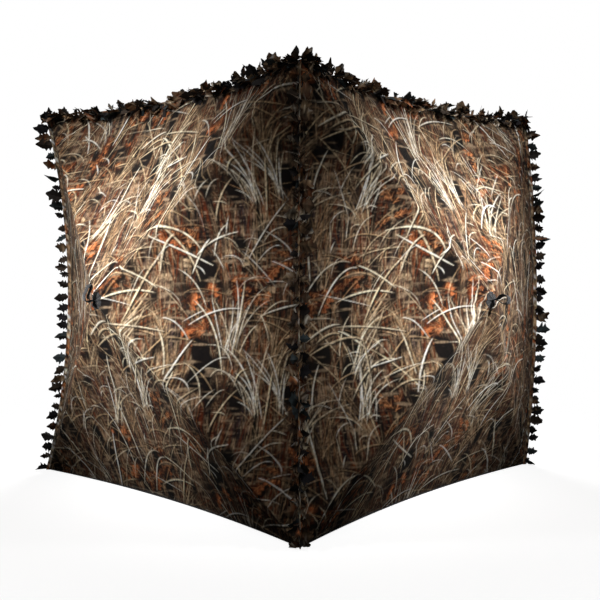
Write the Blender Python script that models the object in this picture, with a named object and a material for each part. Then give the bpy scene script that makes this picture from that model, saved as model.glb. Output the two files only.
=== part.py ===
"""A pop up ground blind: four fabric walls and a roof, each pushed out by a hub and four sprung poles.

World frame: metres, +Z up, origin on the ground under the middle of the blind.
The walls face -Y (front), +X (right), +Y (back) and -X (left).
"""

import math

import bmesh
import bpy
from mathutils import Matrix, Vector

# Driving dimensions
SIDE = 1.50  # between neighbouring corners
CORNER_HEIGHT = 1.55
WALL_BULGE = 0.27  # how far a wall's hub stands out of the plane of its corners
ROOF_BULGE = 0.17
CLOTH = 0.002  # cloth thickness, measured along the panel's normal
POLE_RADIUS = 0.005
HINGE_SHORT = 0.080  # each pole stops this far short of its corner, the room its tip needs as it swings

HALF = SIDE / 2
SEAM_GAP = CLOTH + 0.0005  # between a panel's edge and the seam that it shares
HEM_BOW = 0.06  # how far the hem bows inwards at the middle of a side
TOP_BOW = 0.09
TOP_SAG = 0.02
CORNER_BOWS = {"front_left": 0.095, "front_right": 0.09, "back_right": -0.05, "back_left": 0.09}
CORNERS = {
    "front_left": Vector((-HALF, -HALF, 0)),
    "front_right": Vector((HALF, -HALF, 0)),
    "back_right": Vector((HALF, HALF, 0)),
    "back_left": Vector((-HALF, HALF, 0)),
}
# Each wall with its left and right corner as seen from outside
WALLS = {
    "front": ("front_left", "front_right"),
    "right": ("front_right", "back_right"),
    "back": ("back_right", "back_left"),
    "left": ("back_left", "front_left"),
}

# Hub, measured from the tip of the cloth along the hub's own axis
PIN_RADIUS = 0.022  # from the hub's axis to each pole's pivot
PIN_DEPTH = 0.030
CORNER_DEPTH = 0.018  # a pole points at a spot this far behind its corner
CROWN_RADIUS = 0.034
CROWN_TOP = 0.008
CROWN_SHOULDER = 0.022
CROWN_BOTTOM = 0.040
CROWN_NECK_RADIUS = 0.008
SLOT_WIDTH = 0.0145
SLOT_START = 0.0142
GROOVE_HALF = 0.0023
GROOVE_ROOF = 0.0278
RING_WIRE = 0.00125
FERRULE_RADIUS = 0.006
FERRULE_LENGTH = 0.045
EYE_HOLE = 0.0026
TIP_LENGTH = 0.030

# Webbing pull loop
LOOP_LENGTH = 0.070
LOOP_HEIGHT = 0.028
LOOP_WIDTH = 0.025
WEBBING = 0.003
LOOP_GAP = 0.0015

# Leafy trim, sewn into the corner seams and round the roof seam
TRIM_REACH = 0.050
TRIM_THICKNESS = 0.003
TRIM_GAP = 0.004
GUSSET_LEG = 0.045
GUSSET_INSET = 0.006

# Openings in a panel, as shares of the way from its seam to the hub and of the way along its seam
EDGE_STEPS = 8
WINDOW_DEPTH = (0.26, 0.62)
WINDOW_WIDTH = (0.26, 0.74)
DOOR_DEPTH = (0.06, 0.86)
DOOR_WIDTH = (0.06, 0.94)
NET_INSET = 0.006
FLAP_MARGIN = 0.022
FLAP_GAP = 0.003
ZIP_GAP = 0.004
ZIP_WIDTH = 0.016
SLIDER_GAP = 0.0012


def remove_all():
    for obj in list(bpy.data.objects):
        bpy.data.objects.remove(obj)


def material(name, color, roughness, metallic=0.0):
    made = bpy.data.materials.new(name)
    made.use_nodes = True
    shader = made.node_tree.nodes["Principled BSDF"]
    shader.inputs["Base Color"].default_value = (*color, 1)
    shader.inputs["Roughness"].default_value = roughness
    shader.inputs["Metallic"].default_value = metallic
    made.diffuse_color = (*color, 1)
    return made


def link(name, mesh, finish, matrix=None, parent=None):
    """A new object for this mesh, placed by a matrix in its parent's space."""
    obj = bpy.data.objects.new(name, mesh)
    bpy.context.scene.collection.objects.link(obj)
    if not mesh.materials:
        mesh.materials.append(finish)
    obj.parent = parent
    obj.matrix_local = matrix or Matrix.Identity(4)
    return obj


def mesh_of(name, points, faces):
    mesh = bpy.data.meshes.new(name)
    mesh.from_pydata([tuple(p) for p in points], [], faces)
    shell = bmesh.new()
    shell.from_mesh(mesh)
    bmesh.ops.recalc_face_normals(shell, faces=shell.faces)
    shell.to_mesh(mesh)
    shell.free()
    return mesh


def smooth(mesh, angle=35):
    mesh.shade_smooth()
    mesh.set_sharp_from_angle(angle=math.radians(angle))


def axes_matrix(u, v, w, origin):
    """The matrix whose columns are three axes and a place."""
    turn = Matrix((u, v, w)).transposed().to_4x4()
    return Matrix.Translation(origin) @ turn


def wall_axes(wall):
    """A wall's axes as seen from outside: u to the right, v up and w outwards."""
    left, right = (CORNERS[name] for name in WALLS[wall])
    u = (right - left).normalized()
    v = Vector((0, 0, 1))
    return u, v, u.cross(v)


def bow(t):
    """The share of a seam's bow at the share t of the way along it: 0 at its ends and 1 in the middle."""
    return 4 * t * (1 - t)


def corner_seam(corner, t):
    """The seam between two walls, from the ground at 0 to the roof at 1."""
    foot = CORNERS[corner]
    inwards = -foot.normalized()
    return foot + inwards * CORNER_BOWS[corner] * bow(t) + Vector((0, 0, CORNER_HEIGHT * t))


def side_seam(wall, t, height, bow_in, sag):
    """The roof seam or the hem of a wall, from its left corner at 0 to its right corner at 1."""
    left, right = (CORNERS[name] for name in WALLS[wall])
    outwards = wall_axes(wall)[2]
    flat = left.lerp(right, t) - outwards * bow_in * bow(t)
    return flat + Vector((0, 0, height - sag * bow(t)))


def roof_seam(wall, t):
    return side_seam(wall, t, CORNER_HEIGHT, TOP_BOW, TOP_SAG)


def hem(wall, t):
    return side_seam(wall, t, 0, HEM_BOW, 0)


class Panel:
    """One wall or the roof: a cone from its hub's tip over the loop of its four seams.

    A point is named by its side (0 top, 1 right, 2 bottom, 3 left), by depth, the share of the
    way from the seam to the tip, and by along, the share of the way along that side.
    """

    def __init__(self, name):
        self.name = name
        if name == "roof":
            self.u, self.v, self.w = Vector((1, 0, 0)), Vector((0, 1, 0)), Vector((0, 0, 1))
            self.tip = Vector((0, 0, CORNER_HEIGHT + ROOF_BULGE))
            self.bulge = ROOF_BULGE
            self.half_height = HALF
        else:
            self.u, self.v, self.w = wall_axes(name)
            self.tip = self.w * (HALF + WALL_BULGE) + Vector((0, 0, CORNER_HEIGHT / 2))
            self.bulge = WALL_BULGE
            self.half_height = CORNER_HEIGHT / 2
        self.frame = axes_matrix(self.u, self.v, self.w, self.tip)

    def seam(self, side, along):
        """A point of the panel's edge, clockwise from the top left corner as seen from outside."""
        if self.name == "roof":
            walls = ("back", "right", "front", "left")
            point = roof_seam(walls[side], 1 - along)
        elif side == 0:
            point = roof_seam(self.name, along)
        elif side == 2:
            point = hem(self.name, 1 - along)
        elif side == 1:
            point = corner_seam(WALLS[self.name][1], 1 - along)
        else:
            point = corner_seam(WALLS[self.name][0], along)
        return point + self.seam_inset(side, along)

    def seam_inset(self, side, along):
        """The step from the shared seam line to this panel's own edge."""
        steps = (-self.v, -self.u, self.v, self.u)
        sides = {side}
        if along == 0:
            sides.add((side + 3) % 4)
        if along == 1:
            sides.add((side + 1) % 4)
        if self.name != "roof":
            sides.discard(2)
        return sum((steps[s] * SEAM_GAP for s in sides), Vector())

    def point(self, side, depth, along, height=0.0):
        return self.seam(side, along).lerp(self.tip, depth) + self.w * height

    def pole_slope(self):
        """The angle between a pole and the plane of the corners."""
        reach = math.hypot(HALF, self.half_height) - PIN_RADIUS
        return math.atan2(self.bulge - PIN_DEPTH + CORNER_DEPTH, reach)

    def pole_length(self):
        reach = math.hypot(HALF, self.half_height) - PIN_RADIUS
        return reach / math.cos(self.pole_slope()) - HINGE_SHORT


def shell_of(name, outer, faces, inwards):
    """A closed sheet: the outer faces, a copy moved inwards, and a strip along each open edge."""
    count = len(outer)
    points = list(outer) + [p + inwards for p in outer]
    sheet = [tuple(face) for face in faces]
    sheet += [tuple(i + count for i in reversed(face)) for face in faces]
    edges = {}
    for face in faces:
        for a, b in zip(face, face[1:] + face[:1]):
            edges[(a, b)] = True
    for a, b in edges:
        if (b, a) not in edges:
            sheet.append((b, a, a + count, b + count))
    used = sorted({i for face in sheet for i in face})
    place = {old: new for new, old in enumerate(used)}
    return mesh_of(name, [points[i] for i in used], [[place[i] for i in face] for face in sheet])


def steps_between(low, high, count):
    return [low + (high - low) * i / count for i in range(count + 1)]


def side_grid(panel, side, depths, alongs, height=0.0, skip=()):
    """Points and faces of part of one side. skip holds the (depth, along) cells that stay open."""
    points = [panel.point(side, d, a, height) for d in depths for a in alongs]
    wide = len(alongs)
    faces = []
    for i in range(len(depths) - 1):
        for j in range(wide - 1):
            if (i, j) not in skip:
                a = i * wide + j
                faces.append([a, a + 1, a + wide + 1, a + wide])
    return points, faces


def panel_mesh(panel, openings):
    """The whole panel as one closed sheet. openings maps a side to its (depths, alongs)."""
    points, faces = [], []
    for side in range(4):
        depths, alongs, skip = [0.0, 0.45], steps_between(0, 1, EDGE_STEPS), ()
        if side in openings:
            deep, wide = openings[side]
            depths = [0.0, *deep]
            alongs = [0.0, *steps_between(*wide, EDGE_STEPS - 2), 1.0]
            skip = {(1, j) for j in range(1, EDGE_STEPS - 1)}
        new_points, new_faces = side_grid(panel, side, depths, alongs, skip=skip)
        base = len(points)
        points += new_points
        faces += [[i + base for i in face] for face in new_faces]
        last = base + (len(depths) - 1) * len(alongs)
        points.append(panel.tip)
        faces += [[last + j, last + j + 1, len(points) - 1] for j in range(len(alongs) - 1)]
    points, faces = stitched(points, faces)
    return shell_of(panel.name, points, faces, panel.w * -CLOTH)


def stitched(points, faces):
    """Points in the same place made one, so that the sides of a panel share their ridges."""
    first, index = {}, []
    kept = []
    for p in points:
        key = tuple(round(c, 6) for c in p)
        if key not in first:
            first[key] = len(kept)
            kept.append(p)
        index.append(first[key])
    return kept, split_ridges(kept, [[index[i] for i in face] for face in faces])


def split_ridges(points, faces):
    """A face whose edge passes through another point takes that point in, so no crack is left."""
    edges = {}
    for n, face in enumerate(faces):
        for a, b in zip(face, face[1:] + face[:1]):
            edges[(a, b)] = n
    open_points = {i for (a, b) in edges if (b, a) not in edges for i in (a, b)}
    closed = []
    for face in faces:
        grown = []
        for a, b in zip(face, face[1:] + face[:1]):
            grown.append(a)
            if (b, a) in edges:
                continue
            span = points[b] - points[a]
            between = []
            for i in open_points - {a, b}:
                share = (points[i] - points[a]).dot(span) / span.length_squared
                off = (points[i] - points[a] - span * share).length
                if 0.001 < share < 0.999 and off < 1e-6:
                    between.append((share, i))
            grown += [i for _, i in sorted(between)]
        closed.append(grown)
    return closed


def sheet_piece(name, panel, side, depths, alongs, finish, height, thickness, origin, skip=()):
    """A separate sheet that lies on one side of a panel, with its object's origin at a joint."""
    points, faces = side_grid(panel, side, depths, alongs, height, skip)
    points = [p - origin for p in points]
    mesh = shell_of(name, points, faces, panel.w * -thickness)
    return link(name, mesh, finish, Matrix.Translation(origin))


def lathe(name, profile, segments):
    """A closed turned solid about Z from (radius, height) points that start and end on the axis."""
    points, rings, faces = [], [], []
    for radius, height in profile:
        if radius == 0:
            rings.append([len(points)])
            points.append(Vector((0, 0, height)))
            continue
        rings.append(list(range(len(points), len(points) + segments)))
        for i in range(segments):
            turn = 2 * math.pi * (i + 0.5) / segments
            points.append(Vector((radius * math.cos(turn), radius * math.sin(turn), height)))
    for low, high in zip(rings, rings[1:]):
        for i in range(segments):
            j = (i + 1) % segments
            if len(low) == 1:
                faces.append((low[0], high[i], high[j]))
            elif len(high) == 1:
                faces.append((low[i], high[0], low[j]))
            else:
                faces.append((low[i], high[i], high[j], low[j]))
    return mesh_of(name, points, faces)


def box_mesh(name, boxes):
    """Boxes in one mesh, each given as its lowest and highest corner and a turn about Z."""
    shape = bmesh.new()
    for low, high, turn in boxes:
        size = Vector(high) - Vector(low)
        place = Matrix.Translation((Vector(low) + Vector(high)) / 2)
        scale = Matrix.Diagonal((*size, 1))
        bmesh.ops.create_cube(shape, size=1, matrix=Matrix.Rotation(turn, 4, "Z") @ place @ scale)
    mesh = bpy.data.meshes.new(name)
    shape.to_mesh(mesh)
    shape.free()
    return mesh


def cut_mesh(name, mesh, cutter_mesh, operation="DIFFERENCE"):
    """The first mesh with the second cut from it or joined to it."""
    body = bpy.data.objects.new(name + "_blank", mesh)
    cutter = bpy.data.objects.new(name + "_cutter", cutter_mesh)
    for helper in (body, cutter):
        bpy.context.scene.collection.objects.link(helper)
        helper.hide_render = True
        helper.display_type = "WIRE"
    boolean = body.modifiers.new("cut", "BOOLEAN")
    boolean.operation = operation
    boolean.solver = "EXACT"
    boolean.object = cutter
    bpy.context.view_layer.update()
    graph = bpy.context.evaluated_depsgraph_get()
    done = bpy.data.meshes.new_from_object(body.evaluated_get(graph))
    done.name = name
    for helper in (body, cutter):
        bpy.data.objects.remove(helper)
    return done


def crown_mesh(pole_turns):
    """The hub's moulded crown: a groove below for the pivot ring, and a slot for each pole."""
    profile = [
        (0, -CROWN_BOTTOM),
        (PIN_RADIUS - GROOVE_HALF, -CROWN_BOTTOM),
        (PIN_RADIUS - GROOVE_HALF, -GROOVE_ROOF),
        (PIN_RADIUS + GROOVE_HALF, -GROOVE_ROOF),
        (PIN_RADIUS + GROOVE_HALF, -CROWN_BOTTOM),
        (CROWN_RADIUS, -CROWN_BOTTOM),
        (CROWN_RADIUS, -CROWN_SHOULDER),
        (CROWN_NECK_RADIUS, -CROWN_TOP),
        (0, -CROWN_TOP),
    ]
    solid = lathe("crown", profile, 20)
    past = 0.01
    low = (SLOT_START, -SLOT_WIDTH / 2, -CROWN_BOTTOM - past)
    high = (CROWN_RADIUS + past, SLOT_WIDTH / 2, past)
    slots = box_mesh("slots", [(low, high, turn) for turn in pole_turns])
    return cut_mesh("crown", solid, slots)


def ring_mesh():
    """The wire ring that every pole of a hub turns on."""
    big, small = 28, 6
    points, faces = [], []
    for i in range(big):
        turn = 2 * math.pi * i / big
        for j in range(small):
            tilt = 2 * math.pi * j / small
            radius = PIN_RADIUS + RING_WIRE * math.cos(tilt)
            height = RING_WIRE * math.sin(tilt) - PIN_DEPTH
            points.append((radius * math.cos(turn), radius * math.sin(turn), height))
    for i in range(big):
        for j in range(small):
            a, b = i * small, (i + 1) % big * small
            k = (j + 1) % small
            faces.append((a + j, b + j, b + k, a + k))
    mesh = mesh_of("ring", points, faces)
    smooth(mesh, 80)
    return mesh


def pole_mesh(length):
    """A rod along X from its pivot at the origin, with a ferrule round its eye and a cap on its tip."""
    profile = [
        (0, -FERRULE_RADIUS),
        (FERRULE_RADIUS * 0.7, -FERRULE_RADIUS * 0.75),
        (FERRULE_RADIUS, 0),
        (FERRULE_RADIUS, FERRULE_LENGTH),
        (POLE_RADIUS, FERRULE_LENGTH + 0.002),
        (POLE_RADIUS, length - TIP_LENGTH),
        (FERRULE_RADIUS, length - TIP_LENGTH + 0.001),
        (FERRULE_RADIUS, length - 0.003),
        (FERRULE_RADIUS * 0.6, length),
        (0, length),
    ]
    rod = lathe("pole", profile, 8)
    rod.transform(Matrix.Rotation(math.radians(90), 4, "Y"))
    reach = 2 * FERRULE_RADIUS
    pin = lathe("pin", [(0, -reach), (EYE_HOLE, -reach), (EYE_HOLE, reach), (0, reach)], 10)
    pin.transform(Matrix.Rotation(math.radians(90), 4, "X"))
    mesh = cut_mesh("pole", rod, pin)
    smooth(mesh, 50)
    return mesh


def loop_mesh():
    """The webbing pull loop: a flat band bent into a long ring, on a box-stitched foot."""
    count = 16
    points, faces = [], []
    centre = LOOP_GAP + LOOP_LENGTH / 2
    for inset in (0, WEBBING):
        for side in (-1, 1):
            for i in range(count):
                turn = 2 * math.pi * i / count
                across = (LOOP_HEIGHT / 2 - inset) * math.cos(turn)
                out = centre + (LOOP_LENGTH / 2 - inset) * math.sin(turn)
                points.append((side * LOOP_WIDTH / 2, across, out))
    for i in range(count):
        j = (i + 1) % count
        faces.append((i, j, count + j, count + i))
        faces.append((2 * count + i, 3 * count + i, 3 * count + j, 2 * count + j))
        faces.append((i, 2 * count + i, 2 * count + j, j))
        faces.append((count + i, count + j, 3 * count + j, 3 * count + i))
    band = mesh_of("loop", points, faces)
    foot = box_mesh("foot", [((-0.011, -0.005, LOOP_GAP), (0.011, 0.005, LOOP_GAP + 0.016), 0)])
    mesh = cut_mesh("loop", band, foot, "UNION")
    smooth(mesh, 40)
    return mesh


def strip_mesh(name, starts, outs, acrosses, closed):
    """A thin band swept along a seam: it stands out from each start by TRIM_REACH."""
    points, faces = [], []
    for start, out, across in zip(starts, outs, acrosses):
        half = across * TRIM_THICKNESS / 2
        for reach in (TRIM_GAP, TRIM_REACH):
            points.append(start + out * reach - half)
            points.append(start + out * reach + half)
    count = len(starts)
    around = (0, 1, 3, 2)
    for i in range(count if closed else count - 1):
        a, b = 4 * i, 4 * ((i + 1) % count)
        for j in range(4):
            m, n = around[j], around[(j + 1) % 4]
            faces.append((a + m, b + m, b + n, a + n))
    if not closed:
        last = 4 * (count - 1)
        faces.append(around)
        faces.append(tuple(last + m for m in reversed(around)))
    return mesh_of(name, points, faces)


def corner_trim_mesh(corner):
    low, high, count = 0.02, 0.955, 12
    out = CORNERS[corner].normalized()
    across = out.cross(Vector((0, 0, 1)))
    starts = [corner_seam(corner, t) for t in steps_between(low, high, count)]
    return strip_mesh("trim", starts, [out] * (count + 1), [across] * (count + 1), False)


def roof_trim_mesh():
    starts, outs, acrosses = [], [], []
    up = Vector((0, 0, 1))
    for wall in WALLS:
        outwards = wall_axes(wall)[2]
        before = wall_axes(wall)[0] * -1
        for t in steps_between(0, 1, EDGE_STEPS)[:-1]:
            side = outwards + before if t == 0 else outwards
            starts.append(roof_seam(wall, t))
            outs.append((side + up) * math.sqrt(0.5))
            acrosses.append((side - up) * math.sqrt(0.5))
    return strip_mesh("roof_trim", starts, outs, acrosses, True)


def gusset_mesh(corner, top):
    """The stiff three-sided pocket in a corner. A lower one has a flat underside on the ground."""
    foot = CORNERS[corner]
    to_x = Vector((-math.copysign(1, foot.x), 0, 0))
    to_y = Vector((0, -math.copysign(1, foot.y), 0))
    to_z = Vector((0, 0, -1 if top else 1))
    level = CORNER_HEIGHT - GUSSET_INSET if top else 0
    root = foot + (to_x + to_y) * GUSSET_INSET + Vector((0, 0, level))
    share = GUSSET_LEG / CORNER_HEIGHT
    seam = corner_seam(corner, share) - foot
    lean = Vector((seam.x, seam.y, 0)) if CORNER_BOWS[corner] > 0 else Vector()
    droop = to_z * TOP_SAG * bow(share) if top else Vector()
    pull = (TOP_BOW if top else HEM_BOW) * bow(share)
    points = [
        root,
        root + to_x * GUSSET_LEG + to_y * pull + droop,
        root + to_y * GUSSET_LEG + to_x * pull + droop,
        root + to_z * GUSSET_LEG + lean,
    ]
    return mesh_of("gusset", points, [(0, 1, 2), (0, 2, 3), (0, 3, 1), (1, 3, 2)])


def build_hub(panel, finishes, crown, ring, loop, pole):
    """The crown, pivot ring, pull loop and four poles of one panel, on an empty at its tip."""
    hub = bpy.data.objects.new(panel.name + "_hub_axis", None)
    bpy.context.scene.collection.objects.link(hub)
    hub.matrix_world = panel.frame
    link(panel.name + "_hub_crown", crown, finishes["plastic"], parent=hub)
    link(panel.name + "_pivot_ring", ring, finishes["steel"], parent=hub)
    link(panel.name + "_pull_loop", loop, finishes["webbing"], parent=hub)
    for corner_name, turn in pole_turns(panel).items():
        swing = Matrix.Rotation(turn, 4, "Z")
        pivot = Matrix.Translation((PIN_RADIUS, 0, -PIN_DEPTH))
        lean = Matrix.Rotation(panel.pole_slope(), 4, "Y")
        name = f"{panel.name}_pole_{corner_name}"
        link(name, pole, finishes["fibreglass"], swing @ pivot @ lean, hub)


def pole_turns(panel):
    """The direction of each pole about its hub's axis, by the corner that it points to."""
    rise = math.atan2(panel.half_height, HALF)
    return {
        "upper_right": rise,
        "upper_left": math.pi - rise,
        "lower_left": math.pi + rise,
        "lower_right": -rise,
    }


def build_window(panel, finishes):
    """The net in a window of the panel's upper side, and the flap that hangs inside it."""
    low, high = WINDOW_DEPTH
    left, right = WINDOW_WIDTH
    hinge = (panel.point(0, 0, 0) + panel.point(0, 0, 1)) / 2
    net_depths = [low + NET_INSET, high - NET_INSET]
    net_alongs = steps_between(left + NET_INSET, right - NET_INSET, EDGE_STEPS - 2)
    net_height = -CLOTH / 4
    net = (net_depths, net_alongs, finishes["net"], net_height, CLOTH / 2, hinge)
    sheet_piece(panel.name + "_window_net", panel, 0, *net)
    depths = [low - FLAP_MARGIN, high + FLAP_MARGIN]
    alongs = steps_between(left - FLAP_MARGIN, right + FLAP_MARGIN, EDGE_STEPS - 2)
    height = -CLOTH - FLAP_GAP
    lower = panel.point(0, depths[1], 0.5, height)
    flap = (depths, alongs, finishes["cloth"], height, CLOTH, lower - panel.w * 2 * CLOTH)
    sheet_piece(panel.name + "_window_flap", panel, 0, *flap)


def build_door(panel, finishes):
    """The zipped door in the panel's right side, with its zip and the slider on the upper run."""
    low, high = DOOR_DEPTH
    left, right = DOOR_WIDTH
    corner = (panel.point(1, 0, 0) + panel.point(1, 0, 1)) / 2
    rim = ZIP_GAP + ZIP_WIDTH
    depths = [low + ZIP_GAP, high - rim, high - ZIP_GAP]
    inner = steps_between(left + rim, right - rim, EDGE_STEPS - 2)
    alongs = [left + ZIP_GAP, *inner, right - ZIP_GAP]
    open_cells = {(0, j) for j in range(1, len(alongs) - 2)}
    track = (depths, alongs, finishes["zip"], 0, CLOTH, corner, open_cells)
    sheet_piece(panel.name + "_door_zip", panel, 1, *track)
    depths = [low + ZIP_GAP, high - rim - ZIP_GAP]
    alongs = steps_between(left + rim + ZIP_GAP, right - rim - ZIP_GAP, EDGE_STEPS - 2)
    hinge = (panel.point(1, depths[0], alongs[0]) + panel.point(1, depths[0], alongs[-1])) / 2
    door = (depths, alongs, finishes["cloth"], 0, CLOTH, hinge + panel.w * CLOTH)
    sheet_piece(panel.name + "_door", panel, 1, *door)
    track_line = left + ZIP_GAP + ZIP_WIDTH / 2
    start_depth = low + 2 * ZIP_WIDTH
    start = panel.point(1, start_depth, track_line)
    along = (panel.tip - start).normalized()
    across = panel.point(1, start_depth, track_line + ZIP_WIDTH) - start
    rise = along.cross(across).normalized()
    slider = box_mesh("slider", [((-0.012, -0.005, 0), (0.012, 0.005, 0.005), 0)])
    tab = box_mesh("tab", [((-0.045, -0.004, 0.003), (-0.008, 0.004, 0.006), 0)])
    mesh = cut_mesh("slider", slider, tab, "UNION")
    place = axes_matrix(along, rise.cross(along), rise, start + rise * SLIDER_GAP)
    link(panel.name + "_door_zip_slider", mesh, finishes["steel"], place)


def build():
    remove_all()
    finishes = {
        "cloth": material("camouflage_cloth", (0.16, 0.12, 0.085), 0.85),
        "roof": material("roof_cloth", (0.16, 0.12, 0.085), 0.85),
        "trim": material("leaf_trim", (0.05, 0.042, 0.03), 0.9),
        "plastic": material("black_plastic", (0.02, 0.02, 0.02), 0.45),
        "steel": material("zinc_steel", (0.55, 0.55, 0.56), 0.3, 1.0),
        "webbing": material("black_webbing", (0.015, 0.015, 0.016), 0.8),
        "fibreglass": material("fibreglass", (0.03, 0.03, 0.032), 0.35),
        "net": material("window_net", (0.02, 0.02, 0.02), 0.9),
        "zip": material("zip_tape", (0.02, 0.02, 0.02), 0.7),
    }
    panels = {name: Panel(name) for name in (*WALLS, "roof")}
    openings = {
        "back": {0: (WINDOW_DEPTH, WINDOW_WIDTH), 1: (DOOR_DEPTH, DOOR_WIDTH)},
        "left": {0: (WINDOW_DEPTH, WINDOW_WIDTH)},
    }
    for name, panel in panels.items():
        kind = "roof" if name == "roof" else name + "_wall"
        finish = finishes["roof" if name == "roof" else "cloth"]
        link(kind + "_cloth", panel_mesh(panel, openings.get(name, {})), finish)
    ring, loop = ring_mesh(), loop_mesh()
    for shape in (("front", "right", "back", "left"), ("roof",)):
        sample = panels[shape[0]]
        crown = crown_mesh(pole_turns(sample).values())
        pole = pole_mesh(sample.pole_length())
        for name in shape:
            build_hub(panels[name], finishes, crown, ring, loop, pole)
    for corner in CORNERS:
        link(corner + "_seam_trim", corner_trim_mesh(corner), finishes["trim"])
        link(corner + "_lower_pocket", gusset_mesh(corner, False), finishes["webbing"])
        link(corner + "_upper_pocket", gusset_mesh(corner, True), finishes["webbing"])
    link("roof_seam_trim", roof_trim_mesh(), finishes["trim"])
    for name in ("back", "left"):
        build_window(panels[name], finishes)
    build_door(panels["back"], finishes)


build()
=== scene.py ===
"""Looks for the pop up ground blind: printed cloth, leaf trim, webbing, net windows and a zipped door.

Everything is in metres in the CAD model's own frame: +Z up, the front wall faces -Y and the
photographed corner is the one between the front wall and the right wall (+X).
"""

import math

import bpy
import numpy as np
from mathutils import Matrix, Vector


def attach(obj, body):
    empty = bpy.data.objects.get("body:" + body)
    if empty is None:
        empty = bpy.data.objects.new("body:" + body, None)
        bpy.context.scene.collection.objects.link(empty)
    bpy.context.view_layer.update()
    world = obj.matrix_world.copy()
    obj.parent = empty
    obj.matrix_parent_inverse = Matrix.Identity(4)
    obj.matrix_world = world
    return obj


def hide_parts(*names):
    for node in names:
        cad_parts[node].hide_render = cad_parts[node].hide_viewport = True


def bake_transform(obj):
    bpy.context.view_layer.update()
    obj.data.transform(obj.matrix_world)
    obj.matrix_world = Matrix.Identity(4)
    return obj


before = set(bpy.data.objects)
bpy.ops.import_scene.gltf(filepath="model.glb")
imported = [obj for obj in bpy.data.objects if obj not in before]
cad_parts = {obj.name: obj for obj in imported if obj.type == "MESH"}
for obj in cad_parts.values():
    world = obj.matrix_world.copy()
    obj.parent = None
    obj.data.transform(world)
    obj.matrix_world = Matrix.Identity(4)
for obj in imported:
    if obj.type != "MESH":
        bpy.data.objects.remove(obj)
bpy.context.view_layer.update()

# The CAD model's driving dimensions
HALF = 0.75  # half the distance between neighbouring corners
CORNER_HEIGHT = 1.55
WALL_BULGE = 0.27
ROOF_BULGE = 0.17
HEM_BOW = 0.06
TOP_BOW = 0.09
TOP_SAG = 0.02
CORNER_BOWS = {"front_left": 0.095, "front_right": 0.09, "back_right": -0.05, "back_left": 0.09}
CORNERS = {
    "front_left": np.array([-HALF, -HALF, 0.0]),
    "front_right": np.array([HALF, -HALF, 0.0]),
    "back_right": np.array([HALF, HALF, 0.0]),
    "back_left": np.array([-HALF, HALF, 0.0]),
}
WALLS = {
    "front": ("front_left", "front_right"),
    "right": ("front_right", "back_right"),
    "back": ("back_right", "back_left"),
    "left": ("back_left", "front_left"),
}
# Openings on one side of a wall: depth from its seam (0) to the hub (1), width from corner to corner
WINDOW_DEPTH = (0.26, 0.62)
WINDOW_WIDTH = (0.26, 0.74)
DOOR_DEPTH = (0.06, 0.86)
DOOR_WIDTH = (0.06, 0.94)
ZIP_GAP = 0.004
ZIP_WIDTH = 0.016
NET_INSET = 0.006
FLAP_MARGIN = 0.022

UP = np.array([0.0, 0.0, 1.0])

FLAP_DROP = 0.005  # from the wall's outer face to the flap behind it
FLAP_DEPTH = 0.0016
NET_THREAD = 0.0009
# Half sizes along, across and up of a zip tooth and a stitch
TOOTH_HALF = (0.0008, 0.0028, 0.0006)
STITCH_HALF = (0.0021, 0.0005, 0.0006)

# Cells along each side of a panel's square grid. The lining has a point for every second one
FINE_CELLS = 520
PLAIN_CELLS = 260
CLOTH_DEPTH = 0.0018  # from the printed face to the coated inner face

# The print repeats after this much cloth
TILE_WIDTH = 1.50
TILE_HEIGHT = 0.71
TILE_PIXEL = 0.0016


def srgb(text):
    """Linear colour of a six-digit hexadecimal sRGB value."""
    values = np.array([int(text[i : i + 2], 16) for i in (0, 2, 4)]) / 255
    return np.where(values <= 0.04045, values / 12.92, ((values + 0.055) / 1.055) ** 2.4)


# ---------------------------------------------------------------- the print


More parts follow.
